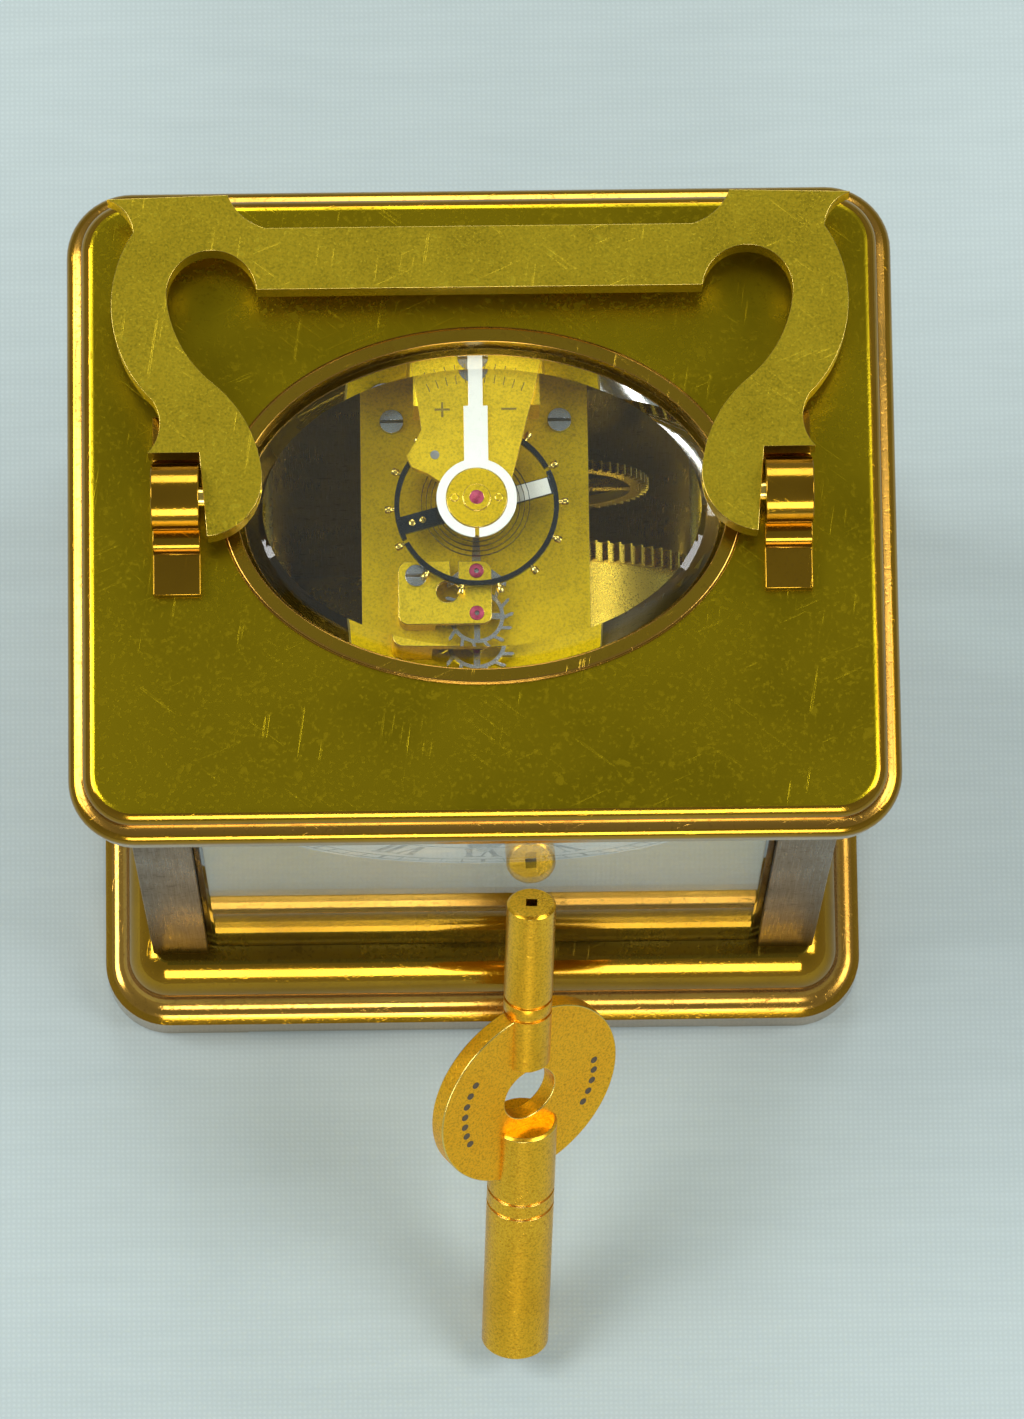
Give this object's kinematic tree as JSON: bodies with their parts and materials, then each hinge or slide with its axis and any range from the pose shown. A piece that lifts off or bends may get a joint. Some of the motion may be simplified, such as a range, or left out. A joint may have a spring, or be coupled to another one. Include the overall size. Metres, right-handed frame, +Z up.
{
  "type": "mantel clock",
  "caption": "Brass carriage clock with bevelled glass sides, an oval top window over its escapement, a folding handle, a hinged back door and a leaning key.",
  "frame": {"origin": "middle of the case on the plane that its feet stand on", "axes": "+Z up, the dial faces -Y, +X to the right seen from the dial side"},
  "size_m": [0.083, 0.1043, 0.1203],
  "materials": {
    "case_brass": "aged satin with polished mouldings",
    "movement_brass": "frosted gilt",
    "glass": "clear, ground bevels",
    "steel": "bright turned",
    "polished_steel": "mirror polished",
    "blued_steel": "heat blued",
    "ruby": "polished synthetic ruby",
    "enamel": "fired white enamel",
    "key_brass": "satin, turned"
  },
  "bodies": {
    "case": {"base": "case_brass", "base_plate": "case_brass", "case_screws": "steel", "front_pillars": "case_brass", "back_pillars": "case_brass", "top": "case_brass", "oval_bezel": "case_brass", "oval_glass": "glass", "front_glass": "glass", "left_glass": "glass", "right_glass": "glass", "lug_left": "case_brass", "lug_right": "case_brass", "handle_pins": "steel", "door_pins": "steel", "front_plate": "movement_brass", "back_plate": "movement_brass", "plate_pillars": "movement_brass", "plate_screws": "steel", "dial": "enamel", "dial_mask": "movement_brass", "click_spring": "steel", "platform": "movement_brass", "platform_screws": "steel", "bridge_screw": "blued_steel", "escape_bridge": "movement_brass", "lower_cock": "movement_brass", "balance_cock": "movement_brass", "jewels": "ruby", "end_cap": "movement_brass", "hairspring": "blued_steel", "hairspring_stud": "steel"},
    "handle": {"handle": "case_brass"},
    "door": {"door_frame": "case_brass", "door_glass": "glass", "door_knob": "case_brass"},
    "barrel": {"barrel": "movement_brass", "barrel_cover": "movement_brass", "mainspring": "steel"},
    "winding_arbor": {"winding_arbor": "steel", "ratchet_wheel": "steel"},
    "click": {"click": "steel"},
    "centre_wheel": {"centre_wheel": "movement_brass"},
    "third_wheel": {"third_wheel": "movement_brass"},
    "contrate_wheel": {"contrate_wheel": "movement_brass"},
    "escape_wheel": {"escape_wheel": "steel"},
    "minute_hand": {"minute_arbor": "steel", "minute_hand": "blued_steel"},
    "minute_wheel": {"minute_wheel": "movement_brass"},
    "hour_hand": {"hour_wheel": "movement_brass", "hour_hand": "blued_steel"},
    "regulator": {"regulator": "polished_steel"},
    "balance": {"balance": "blued_steel", "balance_staff": "steel", "timing_screws": "movement_brass"},
    "pallet_fork": {"pallet_fork": "steel"},
    "key": {"key_winding_tube": "key_brass", "key_setting_tube": "key_brass", "key_bow": "key_brass"}
  },
  "joints": [
    {"name": "handle_fold", "type": "hinge", "parent": "case", "child": "handle", "pos_m": [0, 0, 0.117], "axis": [1, 0, 0], "range_deg": [0, 180]},
    {"name": "door_swing", "type": "hinge", "parent": "case", "child": "door", "pos_m": [0.0282, 0.0253, 0.062], "axis": [0, 0, -1], "range_deg": [0, 95]},
    {"name": "key_lift", "type": "slide", "parent": "case", "child": "key", "axis": [0, 0, 1], "range_m": [0, 0.05]},
    {"name": "contrate_spin", "type": "hinge", "parent": "case", "child": "contrate_wheel", "pos_m": [-0.0006, 0, 0.08224], "axis": [0, 1, 0], "continuous": true},
    {"name": "third_spin", "type": "hinge", "parent": "case", "child": "third_wheel", "pos_m": [0.00748, 0, 0.07496], "axis": [0, 1, 0], "continuous": true},
    {"name": "centre_spin", "type": "hinge", "parent": "case", "child": "centre_wheel", "pos_m": [0, 0, 0.062], "axis": [0, 1, 0], "continuous": true},
    {"name": "barrel_spin", "type": "hinge", "parent": "case", "child": "barrel", "pos_m": [0.0069, 0, 0.04306], "axis": [0, 1, 0], "continuous": true},
    {"name": "escape_spin", "type": "hinge", "parent": "case", "child": "escape_wheel", "pos_m": [-0.0006, -0.0088, 0.1], "axis": [0, 0, 1], "continuous": true},
    {"name": "minute_hand_turn", "type": "hinge", "parent": "case", "child": "minute_hand", "pos_m": [0, 0, 0.062], "axis": [0, 1, 0], "continuous": true},
    {"name": "minute_wheel_spin", "type": "hinge", "parent": "case", "child": "minute_wheel", "pos_m": [-0.00594, -0.016, 0.05606], "axis": [0, 1, 0], "continuous": true},
    {"name": "hour_hand_turn", "type": "hinge", "parent": "case", "child": "hour_hand", "pos_m": [0, -0.019, 0.062], "axis": [0, 1, 0], "continuous": true},
    {"name": "winding_turn", "type": "hinge", "parent": "case", "child": "winding_arbor", "pos_m": [0.0069, 0, 0.04306], "axis": [0, 1, 0], "range_deg": [0, 1620]},
    {"name": "click_lift", "type": "hinge", "parent": "case", "child": "click", "pos_m": [-0.00168, 0.0183, 0.04801], "axis": [0, -1, 0], "range_deg": [0, 8]},
    {"name": "balance_swing", "type": "hinge", "parent": "case", "child": "balance", "pos_m": [-0.0005, 0.0019, 0.1029], "axis": [0, 0, 1], "range_deg": [-270, 270], "stiffness_Nm_per_rad": 0.000008},
    {"name": "pallet_rock", "type": "hinge", "parent": "case", "child": "pallet_fork", "pos_m": [-0.0006, -0.0045, 0.1002], "axis": [0, 0, 1], "range_deg": [-2.5, 2.5]},
    {"name": "regulator_turn", "type": "hinge", "parent": "case", "child": "regulator", "pos_m": [-0.0005, 0.0019, 0.1062], "axis": [0, 0, 1], "range_deg": [-20, 20]}
  ],
  "couplings": [
    {"joint": "escape_spin", "follows": "contrate_spin", "ratio": -8},
    {"joint": "third_spin", "follows": "contrate_spin", "ratio": -0.13333},
    {"joint": "centre_spin", "follows": "contrate_spin", "ratio": 0.013333},
    {"joint": "barrel_spin", "follows": "contrate_spin", "ratio": -0.0019048},
    {"joint": "minute_wheel_spin", "follows": "minute_hand_turn", "ratio": -0.33333},
    {"joint": "hour_hand_turn", "follows": "minute_hand_turn", "ratio": 0.083333}
  ]
}
